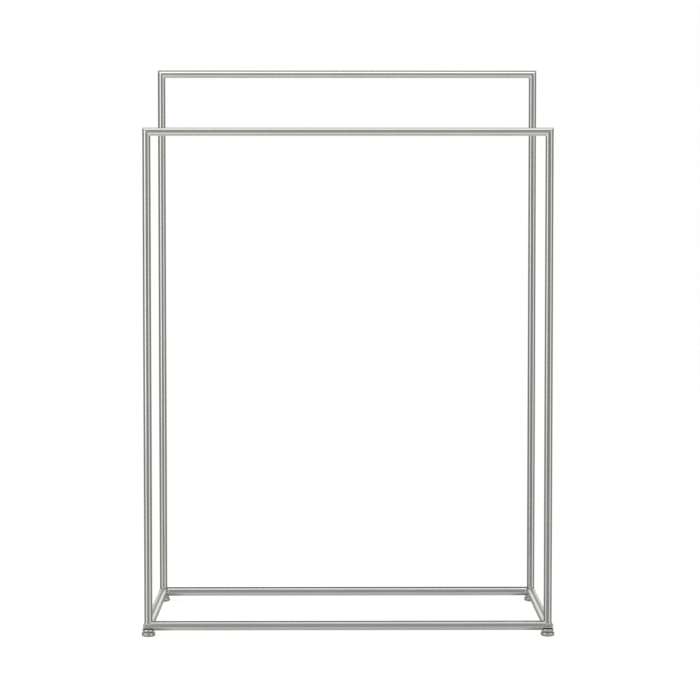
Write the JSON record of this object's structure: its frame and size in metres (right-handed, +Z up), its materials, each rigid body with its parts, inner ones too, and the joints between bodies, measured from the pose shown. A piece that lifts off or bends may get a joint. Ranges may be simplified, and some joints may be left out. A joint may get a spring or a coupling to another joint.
{
  "type": "valet stand",
  "caption": "Free-standing valet and towel stand: two round-tube frames of stepped height on one base ring, with screw-adjusted round feet.",
  "frame": {"origin": "on the floor, under the middle of the base ring", "axes": "+X from the left posts to the right posts, +Y from the low front frame to the tall rear frame, +Z up"},
  "size_m": [0.6104, 0.2934, 0.8495],
  "materials": {
    "satin_nickel_tube": "satin nickel plate, finely brushed along each tube",
    "satin_nickel_fitting": "satin nickel plate, turned",
    "satin_nickel_weld": "satin nickel plate over a dressed weld bead",
    "polished_nickel": "bright nickel plate, turned and polished",
    "zinc_plated_steel": "bright zinc plate on a cut thread",
    "liner_rubber": "matt black rubber"
  },
  "bodies": {
    "frame": {"front_top_rail": "satin_nickel_tube", "front_left_post": "satin_nickel_tube", "front_right_post": "satin_nickel_tube", "rear_top_rail": "satin_nickel_tube", "rear_left_post": "satin_nickel_tube", "rear_right_post": "satin_nickel_tube", "base_front_rail": "satin_nickel_tube", "base_rear_rail": "satin_nickel_tube", "base_left_rail": "satin_nickel_tube", "base_right_rail": "satin_nickel_tube", "top_corner_welds": "satin_nickel_weld", "post_base_welds": "satin_nickel_weld", "front_left_corner_ball": "satin_nickel_fitting", "front_right_corner_ball": "satin_nickel_fitting", "rear_left_corner_ball": "satin_nickel_fitting", "rear_right_corner_ball": "satin_nickel_fitting", "front_left_foot_socket": "satin_nickel_fitting", "front_right_foot_socket": "satin_nickel_fitting", "rear_left_foot_socket": "satin_nickel_fitting", "rear_right_foot_socket": "satin_nickel_fitting"},
    "front_left_foot": {"front_left_foot_pad": "polished_nickel", "front_left_foot_liner": "liner_rubber"},
    "front_left_stud": {"front_left_stud": "zinc_plated_steel", "front_left_stud_washer": "zinc_plated_steel"},
    "front_right_foot": {"front_right_foot_pad": "polished_nickel", "front_right_foot_liner": "liner_rubber"},
    "front_right_stud": {"front_right_stud": "zinc_plated_steel", "front_right_stud_washer": "zinc_plated_steel"},
    "rear_left_foot": {"rear_left_foot_pad": "polished_nickel", "rear_left_foot_liner": "liner_rubber"},
    "rear_left_stud": {"rear_left_stud": "zinc_plated_steel", "rear_left_stud_washer": "zinc_plated_steel"},
    "rear_right_foot": {"rear_right_foot_pad": "polished_nickel", "rear_right_foot_liner": "liner_rubber"},
    "rear_right_stud": {"rear_right_stud": "zinc_plated_steel", "rear_right_stud_washer": "zinc_plated_steel"}
  },
  "joints": [
    {"name": "front_left_foot_height", "type": "slide", "parent": "frame", "child": "front_left_foot", "axis": [0, 0, -1], "range_m": [0, 0.0075]},
    {"name": "front_left_stud_turn", "type": "hinge", "parent": "front_left_foot", "child": "front_left_stud", "pos_m": [-0.295, -0.1365, 0.006], "axis": [0, 0, -1], "range_deg": [0, 2161]},
    {"name": "front_right_foot_height", "type": "slide", "parent": "frame", "child": "front_right_foot", "axis": [0, 0, -1], "range_m": [0, 0.0075]},
    {"name": "front_right_stud_turn", "type": "hinge", "parent": "front_right_foot", "child": "front_right_stud", "pos_m": [0.295, -0.1365, 0.006], "axis": [0, 0, -1], "range_deg": [0, 2161]},
    {"name": "rear_left_foot_height", "type": "slide", "parent": "frame", "child": "rear_left_foot", "axis": [0, 0, -1], "range_m": [0, 0.0075]},
    {"name": "rear_left_stud_turn", "type": "hinge", "parent": "rear_left_foot", "child": "rear_left_stud", "pos_m": [-0.295, 0.1365, 0.006], "axis": [0, 0, -1], "range_deg": [0, 2161]},
    {"name": "rear_right_foot_height", "type": "slide", "parent": "frame", "child": "rear_right_foot", "axis": [0, 0, -1], "range_m": [0, 0.0075]},
    {"name": "rear_right_stud_turn", "type": "hinge", "parent": "rear_right_foot", "child": "rear_right_stud", "pos_m": [0.295, 0.1365, 0.006], "axis": [0, 0, -1], "range_deg": [0, 2161]}
  ],
  "couplings": [
    {"joint": "front_left_stud_turn", "follows": "front_left_foot_height", "rad_per_m": 5026.5},
    {"joint": "front_right_stud_turn", "follows": "front_right_foot_height", "rad_per_m": 5026.5},
    {"joint": "rear_left_stud_turn", "follows": "rear_left_foot_height", "rad_per_m": 5026.5},
    {"joint": "rear_right_stud_turn", "follows": "rear_right_foot_height", "rad_per_m": 5026.5}
  ]
}
